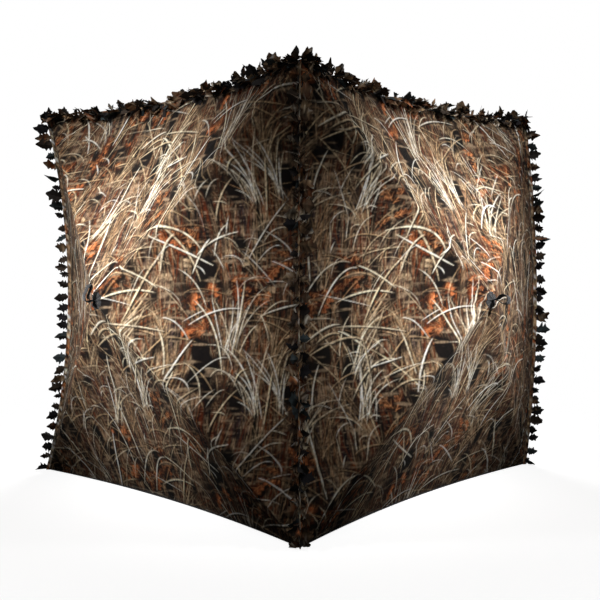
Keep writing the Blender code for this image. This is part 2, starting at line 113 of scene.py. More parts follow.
class Print:
    """A tile of dead reeds, grass and oak leaves, painted back to front, that joins up with itself."""

    def __init__(self, seed):
        self.rng = np.random.default_rng(seed)
        self.wide = int(TILE_WIDTH / TILE_PIXEL)
        self.tall = int(TILE_HEIGHT / TILE_PIXEL)
        self.color = np.zeros((self.tall, self.wide, 3))

    def noise(self, across, up):
        """Smooth tileable noise from -1 to 1, with features of about this size in metres."""
        fx = np.fft.fftfreq(self.wide, TILE_PIXEL)[None, :]
        fy = np.fft.fftfreq(self.tall, TILE_PIXEL)[:, None]
        wave = np.fft.fft2(self.rng.standard_normal((self.tall, self.wide)))
        wave *= np.exp(-((fx * across) ** 2 + (fy * up) ** 2) * 2.5)
        made = np.real(np.fft.ifft2(wave))
        return np.clip(made / (2.2 * made.std()), -1, 1)

    def wash(self, color, amount):
        """Lays a colour over the tile in this amount, an array from 0 to 1."""
        amount = np.clip(amount, 0, 1)[..., None]
        self.color = self.color * (1 - amount) + color * amount

    def put(self, rows, cols, color, cover):
        """Blends a colour into these points of the tile, by a cover from 0 to 1."""
        rows, cols = rows % self.tall, cols % self.wide
        cover = cover[..., None]
        self.color[rows, cols] = self.color[rows, cols] * (1 - cover) + color * cover

    def blade(self, points, widths, color, cover=1.0, round_shade=0.35, lit_side=1):
        """A stroke along points (x, y in metres) with a full width at each one."""
        points = np.asarray(points) / TILE_PIXEL
        widths = np.asarray(widths) / TILE_PIXEL / 2
        for (x0, y0), (x1, y1), w0, w1 in zip(points, points[1:], widths, widths[1:]):
            pad = max(w0, w1) + 1.5
            left, right = math.floor(min(x0, x1) - pad), math.ceil(max(x0, x1) + pad)
            low, high = math.floor(min(y0, y1) - pad), math.ceil(max(y0, y1) + pad)
            cols, rows = np.meshgrid(np.arange(left, right + 1), np.arange(low, high + 1))
            dx, dy = x1 - x0, y1 - y0
            length = max(math.hypot(dx, dy), 1e-6)
            along = ((cols - x0) * dx + (rows - y0) * dy) / length**2
            share = np.clip(along, 0, 1)
            off = ((cols - x0) * dy - (rows - y0) * dx) / length
            past = np.abs(along - share) * length
            half = w0 + (w1 - w0) * share
            inside = np.clip(half - np.hypot(off, past) + 0.5, 0, 1)
            inside *= np.minimum(1, 2 * np.maximum(half, 0.05))
            shade = 1 + round_shade * lit_side * np.clip(off / np.maximum(half, 0.4), -1, 1)
            self.put(rows, cols, color * shade[..., None], inside * cover)

    def polygon(self, outline, paint, cover=1.0):
        """Fills an outline (x, y in metres). paint gives a colour for arrays of x and y."""
        outline = np.asarray(outline) / TILE_PIXEL
        low, high = np.floor(outline.min(0)).astype(int), np.ceil(outline.max(0)).astype(int)
        cols, rows = np.meshgrid(np.arange(low[0], high[0] + 1), np.arange(low[1], high[1] + 1))
        inside = np.zeros(cols.shape)
        for dx, dy in ((-0.25, -0.25), (0.25, -0.25), (-0.25, 0.25), (0.25, 0.25)):
            x, y = cols + dx, rows + dy
            odd = np.zeros(cols.shape, bool)
            for (x0, y0), (x1, y1) in zip(outline, np.roll(outline, -1, axis=0)):
                if y0 != y1:
                    crosses = (y0 > y) != (y1 > y)
                    odd ^= crosses & (x < (x1 - x0) * (y - y0) / (y1 - y0) + x0)
            inside += odd / 4
        self.put(rows, cols, paint(cols * TILE_PIXEL, rows * TILE_PIXEL), inside * cover)


def bezier(a, b, c, count):
    t = np.linspace(0, 1, count)[:, None]
    return (1 - t) ** 2 * np.asarray(a) + 2 * t * (1 - t) * np.asarray(b) + t**2 * np.asarray(c)


def blade_widths(count, width, base=0.35):
    """Widths of a grass blade: narrow at its foot, widest a third of the way up, pointed at its tip."""
    t = np.linspace(0, 1, count)
    return width * np.minimum(base + (1 - base) * t / 0.3, 1) * np.sqrt(np.clip(1 - t**2.2, 0, 1))


def leaf_outline(length, width, lobes, rng):
    """A spiky lobed leaf along +x from the origin, as (x, y) points round its edge."""
    side = []
    for i in range(lobes):
        t = (i + 0.5) / lobes
        reach = math.sin(math.pi * min(t * 0.86 + 0.12, 1)) ** 0.7
        reach *= rng.uniform(0.85, 1.15)
        side.append((t - 0.30 / lobes, 0.24 * reach))
        side.append((t + 0.34 / lobes, 0.50 * reach))
    upper = [(x * length, y * width) for x, y in side]
    lower = [(x * length, -y * width * rng.uniform(0.85, 1.1)) for x, y in reversed(side)]
    return np.array([(0, 0.02 * width), *upper, (length, 0), *lower, (0, -0.02 * width)])


# Washes over the print's ground: colour, strength, the noise's size across and up, and where it starts
BACKGROUND_WASHES = (
    ("8a7460", 2.2, 0.07, 0.022, 0.02),
    ("b7a184", 2.6, 0.045, 0.012, 0.26),
    ("0e0a09", 2.2, 0.026, 0.07, 0.12),
    ("3c3440", 0.7, 0.04, 0.10, 0.2),
    ("0f0a08", 2.2, 0.007, 0.09, 0.18),
    ("6a3417", 1.9, 0.007, 0.12, 0.32),
    ("9a8468", 1.6, 0.005, 0.07, 0.40),
    ("a08a72", 1.6, 0.018, 0.004, 0.42),
)


def paint_background(tile):
    tile.color[:] = srgb("2a1c15")
    tile.wash(srgb("4a382c"), 0.35 + 0.9 * tile.noise(0.10, 0.05))
    for color, strength, across, up, start in BACKGROUND_WASHES:
        tile.wash(srgb(color), strength * (tile.noise(across, up) - start))


def paint_stems(tile, count, colors, widths, cover):
    """Near-vertical reed stems."""
    rng = tile.rng
    for _ in range(count):
        x, y = rng.uniform(0, TILE_WIDTH), rng.uniform(0, TILE_HEIGHT)
        tall = rng.uniform(0.10, 0.50)
        lean = rng.normal(0, 0.14) * tall
        bend = rng.normal(0, 0.05) * tall
        line = bezier((x, y), (x + lean / 2 + bend, y + tall / 2), (x + lean, y + tall), 9)
        wide = rng.uniform(*widths)
        color = srgb(colors[rng.integers(len(colors))]) * rng.uniform(0.7, 1.2)
        tile.blade(line, np.full(9, wide), color, cover * rng.uniform(0.6, 1), 0.5, rng.choice((-1, 1)))


def paint_branches(tile, count):
    """Grey-brown bare branches with a few side twigs."""
    rng = tile.rng
    for _ in range(count):
        x, y = rng.uniform(0, TILE_WIDTH), rng.uniform(0, TILE_HEIGHT)
        turn = rng.uniform(0.35, 1.2) * rng.choice((-1, 1)) + math.pi / 2
        length = rng.uniform(0.25, 0.5)
        tip = (x + length * math.cos(turn), y + length * math.sin(turn))
        sway = rng.normal(0, 0.03, 2)
        line = bezier((x, y), ((x + tip[0]) / 2 + sway[0], (y + tip[1]) / 2 + sway[1]), tip, 14)
        wide = rng.uniform(0.010, 0.019)
        color = srgb(rng.choice(("57483f", "4a3b31", "66584c")))
        tile.blade(line + [0.004, -0.004], np.linspace(wide, wide * 0.35, 14), srgb("120d0a"), 0.6, 0)
        tile.blade(line, np.linspace(wide, wide * 0.3, 14), color, 1, 0.6)
        for i in range(3, 13, 3):
            spread = turn + rng.uniform(0.4, 0.9) * rng.choice((-1, 1))
            reach = rng.uniform(0.05, 0.12)
            end = line[i] + reach * np.array([math.cos(spread), math.sin(spread)])
            tile.blade([line[i], end], [wide * 0.4, wide * 0.15], color * 0.9, 1, 0.5)


def paint_leaf(tile, x, y, turn, length, color):
    """An oak leaf with a dark shadow, a mottled blade and paler veins."""
    rng = tile.rng
    outline = leaf_outline(length, length * rng.uniform(0.62, 0.85), 4, rng)
    cos, sin = math.cos(turn), math.sin(turn)
    across, up = outline[:, 0] * cos - outline[:, 1] * sin, outline[:, 0] * sin + outline[:, 1] * cos
    placed = np.stack([across, up], 1) + [x, y]
    light, dark = srgb("d59c6c"), srgb("1c0c07")
    phase = rng.uniform(0, 6)

    def paint(px, py):
        along = ((px - x) * cos + (py - y) * sin) / length
        off = (-(px - x) * sin + (py - y) * cos) / length
        mottle = 0.5 + 0.5 * np.sin(along * 23 + phase + 5 * np.sin(off * 27 + phase))
        side = np.clip(0.5 + off * 2.4, 0, 1)
        glow = np.clip(0.75 * side * mottle - 0.1, 0, 1)[..., None]
        gloom = np.clip(0.9 - 1.6 * side + 0.5 * (1 - mottle), 0, 0.8)[..., None]
        lit = color * (1 - glow) + light * glow
        return lit * (1 - gloom) + dark * gloom

    tile.polygon(placed + [0.006, -0.008], lambda px, py: srgb("120b08") + 0 * px[..., None], 0.75)
    tile.polygon(placed, paint)
    for t, off in ((0.97, 0.0), (0.55, 0.30), (0.55, -0.30), (0.30, 0.24), (0.30, -0.24)):
        start = np.array([x, y]) + (0 if off == 0 else (t - 0.22) * length) * np.array([cos, sin])
        end_x, end_y = t * length, off * length * 0.8
        end = np.array([x + end_x * cos - end_y * sin, y + end_x * sin + end_y * cos])
        tile.blade([start, end], [0.0028, 0.0012], light, 0.55, 0)


def paint_leaf_groups(tile, count):
    rng = tile.rng
    for i in range(count):
        x = (i + rng.uniform(0.15, 0.85)) * TILE_WIDTH / count
        y = rng.uniform(0, TILE_HEIGHT)
        heading = rng.uniform(0, 2 * math.pi)
        for _ in range(rng.integers(3, 6)):
            turn = heading + rng.normal(0, 0.9)
            color = srgb(rng.choice(("8c4726", "632a13", "a86038", "4a200f"))) * rng.uniform(0.7, 1.2)
            off = rng.normal(0, 0.022, 2)
            paint_leaf(tile, x + off[0], y + off[1], turn, rng.uniform(0.05, 0.092), color)


def paint_one_blade(tile, foot, long, lean, droop, wide, color, cover, shadow):
    """A blade that rises from its foot and droops over to one side."""
    rng = tile.rng
    rise = rng.uniform(0.45, 0.75) * long
    knee = (foot[0] + rise * math.sin(lean), foot[1] + rise * math.cos(lean))
    fall = lean + droop
    tip = (knee[0] + (long - rise) * math.sin(fall), knee[1] + (long - rise) * math.cos(fall))
    line = bezier(foot, knee, tip, 14)
    widths = blade_widths(14, wide)
    if shadow:
        tile.blade(line + [0.004, -0.005], widths * 1.4, srgb("100c09"), shadow, 0)
    tile.blade(line, widths, color, cover, 0.35, rng.choice((-1, 1)))


def paint_grass(tile, count, length, width, colors, cover=1.0, shadow=0.5):
    """Single long blades."""
    rng = tile.rng
    for _ in range(count):
        foot = rng.uniform(0, TILE_WIDTH), rng.uniform(0, TILE_HEIGHT)
        lean = rng.normal(0, 0.85)
        droop = rng.uniform(0.0, 1.7) * (1 if lean > 0 else -1)
        color = srgb(colors[rng.integers(len(colors))]) * rng.uniform(0.8, 1.08)
        long, wide = rng.uniform(*length), rng.uniform(*width)
        paint_one_blade(tile, foot, long, lean, droop, wide, color, cover, shadow)


def paint_sheaves(tile, count, colors):
    """Clumps of thin reeds that fan out of one foot."""
    rng = tile.rng
    for _ in range(count):
        foot = np.array([rng.uniform(0, TILE_WIDTH), rng.uniform(0, TILE_HEIGHT)])
        heading = rng.normal(0, 0.45)
        for _ in range(rng.integers(8, 17)):
            lean = heading + rng.normal(0, 0.14)
            droop = rng.uniform(-0.4, 1.2) * (1 if heading > 0 else -1)
            color = srgb(colors[rng.integers(len(colors))]) * rng.uniform(0.7, 1.1)
            start = foot + rng.normal(0, 0.012, 2)
            long, wide = rng.uniform(0.08, 0.28), rng.uniform(0.0016, 0.004)
            paint_one_blade(tile, start, long, lean, droop, wide, color, 0.95, 0.3)


def paint_tile(seed):
    tile = Print(seed)
    brown = ("4f382b", "32221b", "6b5140", "3a2a22", "71401f", "150e0b", "5c2b14", "120c0a")
    straw = ("b39a7a", "cbb595", "8c7459", "bfa585", "96785a")
    cream = ("f1e6d2", "e6d7bd", "f8f0e2", "d3c0a2")
    paint_background(tile)
    paint_stems(tile, 420, brown, (0.0018, 0.006), 0.85)
    paint_branches(tile, 7)
    paint_sheaves(tile, 22, ("6b533f", "83694f", "503c2e", "7c4322"))
    paint_grass(tile, 150, (0.05, 0.20), (0.002, 0.004), brown, 0.9, 0.3)
    paint_stems(tile, 420, ("9c8368", "78604a", "b69e80", "64503f", "8a6a4c"), (0.0012, 0.0034), 0.9)
    paint_leaf_groups(tile, 21)
    paint_stems(tile, 90, ("5e2d15", "1a110c", "74401f"), (0.002, 0.006), 0.9)
    paint_sheaves(tile, 16, straw)
    tile.wash(srgb("150d0a"), 2.0 * (tile.noise(0.045, 0.075) - 0.22))
    tile.wash(srgb("8e7b66"), 1.6 * (tile.noise(0.05, 0.010) - 0.45))
    paint_grass(tile, 140, (0.05, 0.24), (0.0018, 0.0042), straw, 0.95, 0.5)
    paint_sheaves(tile, 8, cream)
    paint_grass(tile, 60, (0.10, 0.32), (0.003, 0.0065), cream, 1.0, 0.7)
    paint_grass(tile, 190, (0.04, 0.20), (0.0014, 0.003), cream, 0.9, 0.4)
    grain = 1 + 0.45 * tile.noise(0.004, 0.006) + 0.25 * tile.noise(0.012, 0.02)
    contrast = np.clip(tile.color * grain[..., None], 0, 1) ** 1.2 * 1.18
    return soften(np.clip(contrast, 0, 0.92))


def soften(tile):
    """A light blur, so that nothing in the print is finer than the cloth's grid."""
    for axis in (0, 1):
        tile = 0.12 * np.roll(tile, 1, axis) + 0.76 * tile + 0.12 * np.roll(tile, -1, axis)
    return tile


def print_colors(tile, across, up):
    """The print's colours at places on the cloth, in metres, blended between the tile's points."""
    x, y = across / TILE_PIXEL, up / TILE_PIXEL
    x0, y0 = np.floor(x).astype(int), np.floor(y).astype(int)
    fx, fy = (x - x0)[:, None], (y - y0)[:, None]
    tall, wide = tile.shape[:2]
    found = 0
    for dy, wy in ((0, 1 - fy), (1, fy)):
        for dx, wx in ((0, 1 - fx), (1, fx)):
            found = found + tile[(y0 + dy) % tall, (x0 + dx) % wide] * wx * wy
    return found


# ---------------------------------------------------------------- seams and panels


# Where each panel's centre falls on the print, in metres across and up
PRINT_SHIFTS = {
    "front": (0.05, 0.35),
    "right": (0.62, 0.35),
    "back": (0.3, 0.1),
    "left": (1.1, 0.5),
    "roof": (0.2, 0.6),
}


def spaced(edges, step):
    """Numbers from the first edge to the last, about this step apart, with every edge among them."""
    runs = [np.linspace(a, b, max(2, math.ceil((b - a) / step) + 1))[:-1] for a, b in zip(edges, edges[1:])]
    return np.append(np.concatenate(runs), edges[-1])


def unit(v):
    v = np.asarray(v, float)
    return v / np.linalg.norm(v, axis=-1, keepdims=True)


def bow(t):
    return 4 * t * (1 - t)


def wall_axes(wall):
    left, right = (CORNERS[name] for name in WALLS[wall])
    u = unit(right - left)
    return u, UP, np.cross(u, UP)


def corner_seam(corner, t):
    t = np.asarray(t, float)[..., None]
    foot = CORNERS[corner]
    return foot - unit(foot) * CORNER_BOWS[corner] * bow(t) + UP * CORNER_HEIGHT * t


def side_seam(wall, t, height, bow_in, sag):
    t = np.asarray(t, float)[..., None]
    left, right = (CORNERS[name] for name in WALLS[wall])
    outwards = wall_axes(wall)[2]
    return left + (right - left) * t - outwards * bow_in * bow(t) + UP * (height - sag * bow(t))


def roof_seam(wall, t):
    return side_seam(wall, t, CORNER_HEIGHT, TOP_BOW, TOP_SAG)


def hem(wall, t):
    return side_seam(wall, t, 0.0, HEM_BOW, 0.0)


class Panel:
    """One wall or the roof. Its sides are 0 top, 1 right, 2 bottom and 3 left, as seen from outside."""

    def __init__(self, name, seed):
        self.name = name
        self.hub = name + "_hub"
        self.node = "roof_cloth" if name == "roof" else name + "_wall_cloth"
        if name == "roof":
            self.u, self.v, self.w = np.eye(3)
            self.bulge = ROOF_BULGE
            self.centre = UP * CORNER_HEIGHT
        else:
            self.u, self.v, self.w = wall_axes(name)
            self.bulge = WALL_BULGE
            self.centre = self.w * HALF + UP * CORNER_HEIGHT / 2
        self.tip = self.centre + self.w * self.bulge
        self.waves = np.random.default_rng(seed).uniform(0, 2 * math.pi, 24)
        self.shift = PRINT_SHIFTS[name]

    def seam(self, side, along):
        if self.name == "roof":
            return roof_seam(("back", "right", "front", "left")[side], 1 - along)
        if side == 0:
            return roof_seam(self.name, along)
        if side == 2:
            return hem(self.name, 1 - along)
        if side == 1:
            return corner_seam(WALLS[self.name][1], 1 - along)
        return corner_seam(WALLS[self.name][0], along)

    def flat_point(self, side, depth, along):
        """A point of the plain cone, with no folds."""
        depth = np.asarray(depth, float)[..., None]
        return self.seam(side, along) * (1 - depth) + self.tip * depth

    def lift(self, side, depth, along):
        """How far the tensioned cloth stands off the plain cone: hollow fields, rounded ridges and folds."""
        depth, along = np.asarray(depth, float), np.asarray(along, float)
        to_ridge = np.minimum(along, 1 - along) * (1 - depth) * 2 * HALF
        field = np.sin(math.pi * along) * np.sin(math.pi * np.clip(depth, 0, 1)) ** 0.8
        height = -0.011 * field
        height = height - 0.0035 * np.exp(-((to_ridge / 0.012) ** 2)) * np.clip(depth * 9, 0, 1)
        turn = (side + along) * math.pi / 2
        pulls = np.sin(turn * 7 + self.waves[0]) + 0.7 * np.sin(turn * 13 + self.waves[1])
        pulls = pulls + 0.5 * np.sin(turn * 23 + self.waves[2])
        near_tip = np.exp(-(((1 - depth) / 0.13) ** 2)) * np.clip((1 - depth) / 0.03, 0, 1)
        height = height + 0.0022 * pulls * near_tip
        for end, first in ((0, 3), (1, 9)):
            off = along if end == 0 else 1 - along
            away = np.hypot(off * 1.5, depth * 0.9)
            fan = np.arctan2(depth * 0.9, off * 1.5 + 1e-4)
            rays = np.sin(fan * 17 + self.waves[first + side])
            rays = rays + 0.6 * np.sin(fan * 29 + self.waves[first + 1])
            height = height + 0.0016 * rays * np.exp(-((away / 0.32) ** 2)) * np.clip(away / 0.05, 0, 1)
        along_seam = np.sin(along * 61 + self.waves[16]) + 0.8 * np.sin(along * 97 + self.waves[17])
        height = height + 0.0011 * along_seam * np.exp(-depth / 0.035) * np.clip(depth / 0.006, 0, 1)
        across = along * 9 + depth * 3
        slack = np.sin(across + 2 * np.sin(depth * 7 + self.waves[18]) + self.waves[19])
        slack = slack + 0.6 * np.sin(across * 2.3 - depth * 11 + self.waves[20])
        return height + 0.0021 * slack * field

    def point(self, side, depth, along, height=0.0):
        lifted = self.lift(side, depth, along) * np.clip(np.asarray(depth) / 0.01, 0, 1)
        return self.flat_point(side, depth, along) + (lifted + height)[..., None] * self.w

    def grid(self, cells):
        """Side, depth and along for a square grid of points in rings round the tip."""
        steps = np.linspace(-1, 1, cells + 1)
        x, y = np.meshgrid(steps, steps)
        reach = np.maximum(np.abs(x), np.abs(y))
        safe = np.maximum(reach, 1e-9)
        side = np.where(np.abs(y) >= np.abs(x), np.where(y > 0, 0, 2), np.where(x > 0, 1, 3))
        run = np.choose(side, [x, -y, -x, y])
        return side.ravel(), (1 - reach).ravel(), ((run / safe + 1) / 2).ravel()

    def surface(self, cells, height=0.0):
        side, depth, along = self.grid(cells)
        points = np.zeros((len(side), 3))
        for s in range(4):
            mine = side == s
            points[mine] = self.point(s, depth[mine], along[mine], np.full(mine.sum(), height))
        return points, depth

    def ringed_surface(self, openings, height=0.0):
        """The panel as rings round its tip, with the cells left out that its openings take.

        openings maps a side to its (depths, alongs). Gives points, depths and faces.
        """
        edges = sorted({0.0, 0.9992, *(d for deep, _ in openings.values() for d in deep)})
        depths = spaced(edges, 0.006)
        points, skip = [], []
        for side in range(4):
            wide = openings.get(side, ((), ()))[1]
            alongs = spaced([0.0, *wide, 1.0], 0.0045)[:-1]
            grid_depth, grid_along = np.meshgrid(depths, alongs, indexing="ij")
            points.append(self.point(side, grid_depth, grid_along, height))
            closed = np.zeros((len(depths) - 1, len(alongs)), bool)
            if side in openings:
                deep = openings[side][0]
                middle_d = (depths[1:] + depths[:-1]) / 2
                middle_a = (alongs + np.append(alongs[1:], 1.0)) / 2
                closed |= ((middle_d > deep[0]) & (middle_d < deep[1]))[:, None] & (
                    (middle_a > wide[0]) & (middle_a < wide[1])
                )
            skip.append(closed)
        points = np.concatenate(points, axis=1)
        skip = np.concatenate(skip, axis=1)
        rows, columns = points.shape[:2]
        faces = ring_faces(columns, rows)[~skip.ravel()]
        return points.reshape(-1, 3), np.repeat(depths, columns), faces[:, ::-1]

    def patch(self, side, depths, alongs, height=0.0):
        """Part of one side: points in rows of equal depth, and faces."""
        grid_depth, grid_along = np.meshgrid(depths, alongs, indexing="ij")
        points = self.point(side, grid_depth, grid_along, height).reshape(-1, 3)
        return points, grid_faces(len(alongs), len(depths))[:, ::-1]

    def cloth_place(self, points):
        """Where points lie on the flat printed cloth, in metres across and up."""
        rel = points - self.centre
        return rel @ self.u + self.shift[0], rel @ self.v + self.shift[1]


def grid_faces(wide, tall):
    """Quads of a grid with this many points each way."""
    a = (np.arange(tall - 1)[:, None] * wide + np.arange(wide - 1)[None, :]).ravel()
    return np.stack([a, a + 1, a + wide + 1, a + wide], 1)


def ring_faces(sides, rings, closed=False):
    """Quads between rings of points, and from the last ring to the first where closed."""
    row = np.arange(rings if closed else rings - 1)[:, None] * sides
    column = np.arange(sides)[None, :]
    a = (row + column).ravel()
    b = (row + (column + 1) % sides).ravel()
    count = sides * rings
    return np.stack([a, b, (b + sides) % count, (a + sides) % count], 1)


def joined(parts):
    """Several (points, faces) as the points and faces of one mesh."""
    starts = np.cumsum([0] + [len(points) for points, _ in parts[:-1]])
    faces = [quads + start for (_, quads), start in zip(parts, starts)]
    return np.concatenate([points for points, _ in parts]), np.concatenate(faces)


def mesh_object(name, points, faces, material, colors=None, smooth=True):
    """A mesh object from arrays: faces all have the same number of corners."""
    faces = np.asarray(faces)
    mesh = bpy.data.meshes.new(name)
    mesh.vertices.add(len(points))
    mesh.vertices.foreach_set("co", np.asarray(points, np.float32).ravel())
    count, corners = faces.shape
    mesh.loops.add(count * corners)
    mesh.loops.foreach_set("vertex_index", faces.astype(np.int32).ravel())
    mesh.polygons.add(count)
    mesh.polygons.foreach_set("loop_start", np.arange(0, count * corners, corners, dtype=np.int32))
    mesh.polygons.foreach_set("use_smooth", np.full(count, smooth))
    mesh.update(calc_edges=True)
    mesh.validate()
    if colors is not None:
        layer = mesh.color_attributes.new("Print", "FLOAT_COLOR", "POINT")
        values = np.ones((len(points), 4), np.float32)
        values[:, :3] = colors
        layer.data.foreach_set("color", values.ravel())
    mesh.materials.append(material)
    obj = bpy.data.objects.new(name, mesh)
    bpy.context.scene.collection.objects.link(obj)
    return obj


# ---------------------------------------------------------------- materials


class Nodes:
    """A short way to write a node material round one Principled BSDF."""

    def __init__(self, name, roughness, metallic=0.0, sheen=0.0, specular=0.5):
        self.material = bpy.data.materials.new(name)
        self.material.use_nodes = True
        self.tree = self.material.node_tree
        self.shader = self.tree.nodes["Principled BSDF"]
        self.shader.inputs["Roughness"].default_value = roughness
        self.shader.inputs["Metallic"].default_value = metallic
        self.shader.inputs["Sheen Weight"].default_value = sheen
        self.shader.inputs["Specular IOR Level"].default_value = specular

    def node(self, kind, **values):
        made = self.tree.nodes.new(kind)
        for key, value in values.items():
            if key in made.inputs:
                made.inputs[key].default_value = value
            else:
                setattr(made, key, value)
        return made

    def join(self, source, target):
        self.tree.links.new(source, target)

    def noise(self, scale, detail):
        where = self.node("ShaderNodeTexCoord")
        made = self.node("ShaderNodeTexNoise", Scale=scale, Detail=detail)
        self.join(where.outputs["Object"], made.inputs["Vector"])
        return made.outputs["Fac"]

    def ramp(self, source, stops):
        made = self.node("ShaderNodeValToRGB")
        elements = made.color_ramp.elements
        while len(elements) < len(stops):
            elements.new(0.5)
        for element, (position, value) in zip(elements, stops):
            element.position = position
            element.color = (*value, 1)
        self.join(source, made.inputs["Fac"])
        return made.outputs["Color"]

    def math(self, operation, a, b=None):
        made = self.node("ShaderNodeMath", operation=operation)
        for socket, value in zip(made.inputs, (a, b)):
            if value is None:
                continue
            if isinstance(value, (int, float)):
                socket.default_value = value
            else:
                self.join(value, socket)
        return made.outputs[0]

    def mix(self, factor, a, b, blend="MIX"):
        made = self.node("ShaderNodeMix", data_type="RGBA", blend_type=blend)
        for socket, value in ((made.inputs[0], factor), (made.inputs[6], a), (made.inputs[7], b)):
            if isinstance(value, (int, float)):
                socket.default_value = value
            elif isinstance(value, (tuple, list, np.ndarray)):
                socket.default_value = (*value, 1)
            else:
                self.join(value, socket)
        return made.outputs[2]

    def bump(self, height, distance, strength, normal=None):
        made = self.node("ShaderNodeBump", Strength=strength, Distance=distance)
        self.join(height, made.inputs["Height"])
        if normal is not None:
            self.join(normal, made.inputs["Normal"])
        return made.outputs["Normal"]

    def roughness_between(self, source, low, high):
        made = self.node("ShaderNodeMapRange")
        made.inputs["To Min"].default_value = low
        made.inputs["To Max"].default_value = high
        self.join(source, made.inputs["Value"])
        self.join(made.outputs["Result"], self.shader.inputs["Roughness"])

    def finish(self, color, normal=None):
        self.join(color, self.shader.inputs["Base Color"])
        if normal is not None:
            self.join(normal, self.shader.inputs["Normal"])
        return self.material


CLOTH_PITCH = 0.0016  # between threads of the wall cloth


def weave_height(nodes, pitch):
    """Height of a plain weave with this many metres between threads, the same on every wall."""
    where = nodes.node("ShaderNodeTexCoord")
    split = nodes.node("ShaderNodeSeparateXYZ")
    nodes.join(where.outputs["Object"], split.inputs["Vector"])
    flat = nodes.math("ADD", split.outputs["X"], split.outputs["Y"])
    turn = 2 * math.pi / pitch
    across = nodes.math("SINE", nodes.math("MULTIPLY", flat, turn))
    along = nodes.math("SINE", nodes.math("MULTIPLY", split.outputs["Z"], turn))
    return nodes.math("MULTIPLY", across, along)


def printed_cloth(name):
    nodes = Nodes(name, 0.85, sheen=0.03, specular=0.12)
    read = nodes.node("ShaderNodeVertexColor", layer_name="Print")
    worn = nodes.ramp(nodes.noise(5.0, 4.0), [(0.35, (0, 0, 0)), (0.75, (0.02, 0.02, 0.02))])
    faded = nodes.mix(worn, read.outputs["Color"], srgb("8f8672"))
    specks = nodes.ramp(nodes.noise(700.0, 1.0), [(0.3, (0.45, 0.45, 0.45)), (0.7, (1, 1, 1))])
    toned = nodes.mix(0.22, faded, specks, "MULTIPLY")
    weave = nodes.bump(weave_height(nodes, CLOTH_PITCH), 0.0003, 0.35)
    crumple = nodes.bump(nodes.noise(26.0, 5.0), 0.0022, 0.55, weave)
    nodes.roughness_between(nodes.noise(40.0, 2.0), 0.74, 0.92)
    return nodes.finish(toned, crumple)


def leaf_cloth(name):
    nodes = Nodes(name, 0.85, sheen=0.05, specular=0.15)
    read = nodes.node("ShaderNodeVertexColor", layer_name="Print")
    mottle = nodes.noise(85.0, 4.0)
    shade = nodes.ramp(mottle, [(0.3, (0.35, 0.33, 0.32)), (0.72, (1, 1, 1))])
    toned = nodes.mix(0.55, read.outputs["Color"], shade, "MULTIPLY")
    weave = nodes.bump(nodes.noise(420.0, 2.0), 0.0004, 0.5)
    nodes.roughness_between(mottle, 0.75, 0.95)
    return nodes.finish(toned, weave)


def two_tone(name, low, high, blotch, relief, rough, weave=None, ends=(0.3, 0.7), **surface):
    """A material between two colours. blotch, relief and rough each start with a noise's scale and detail.

    relief goes on with a bump's distance and strength, and rough with the least and most roughness.
    weave is a thread pitch, then a bump's distance and strength.
    """
    nodes = Nodes(name, **surface)
    base = nodes.ramp(nodes.noise(*blotch), list(zip(ends, (low, high))))
    woven = nodes.bump(weave_height(nodes, weave[0]), *weave[1:]) if weave else None
    uneven = nodes.bump(nodes.noise(*relief[:2]), *relief[2:], woven)
    nodes.roughness_between(nodes.noise(*rough[:2]), *rough[2:])
    return nodes.finish(base, uneven)


def webbing(name, text, pitch=0.0021):
    color = srgb(text)
    return two_tone(
        name,
        color * 0.7,
        color * 1.5,
        blotch=(60.0, 3.0),
        relief=(900.0, 2.0, 0.0002, 0.4),
        rough=(120.0, 2.0, 0.62, 0.85),
        weave=(pitch, 0.0005, 0.8),
        ends=(0.3, 0.75),
        roughness=0.7,
        sheen=0.2,
    )


COATING = srgb("1b1b1c")  # black and light-tight, on the inside
NYLON = srgb("19191a")
MATERIALS = {
    "print": printed_cloth("printed_cloth"),
    "lining": two_tone(
        "coated_cloth",
        COATING * 0.8,
        COATING * 1.3,
        blotch=(9.0, 4.0),
        relief=(22.0, 5.0, 0.002, 0.5),
        rough=(30.0, 2.0, 0.5, 0.72),
        weave=(CLOTH_PITCH, 0.0002, 0.3),
        roughness=0.6,
        specular=0.4,
    ),
    "webbing": webbing("black_webbing", "121214"),
    "leaf": leaf_cloth("leaf_trim_cloth"),
    "plastic": two_tone(
        "hub_nylon",
        NYLON * 0.8,
        NYLON * 1.2,
        blotch=(30.0, 3.0),
        relief=(1400.0, 2.0, 0.00015, 0.5),
        rough=(80.0, 3.0, 0.36, 0.58),
        roughness=0.45,
    ),
    "fibreglass": two_tone(
        "fibreglass_rod",
        srgb("1d1e20"),
        srgb("34363a"),
        blotch=(90.0, 3.0),
        relief=(500.0, 2.0, 0.0002, 0.3),
        rough=(60.0, 3.0, 0.28, 0.5),
        roughness=0.35,
    ),
    "steel": two_tone(
        "zinc_wire",
        srgb("9b9c9e"),
        srgb("cfd0d2"),
        blotch=(120.0, 3.0),
        relief=(700.0, 2.0, 0.0001, 0.3),
        rough=(200.0, 2.0, 0.22, 0.45),
        roughness=0.3,
        metallic=1.0,
    ),
    "thread": webbing("bonded_thread", "2b241b", 0.0011),
    "net": webbing("polyester_net", "0f0f10", 0.0011),
}


OPENINGS = {
    "back": {0: (WINDOW_DEPTH, WINDOW_WIDTH), 1: (DOOR_DEPTH, DOOR_WIDTH)},
    "left": {0: (WINDOW_DEPTH, WINDOW_WIDTH)},
}


def printed(tile, panel, name, points, faces, depth=None):
    across, up = panel.cloth_place(points)
    piece = mesh_object(name, points, faces, MATERIALS["print"], print_colors(tile, across, up))
    if depth is not None:
        follow_hub(piece, panel, depth)
    return piece


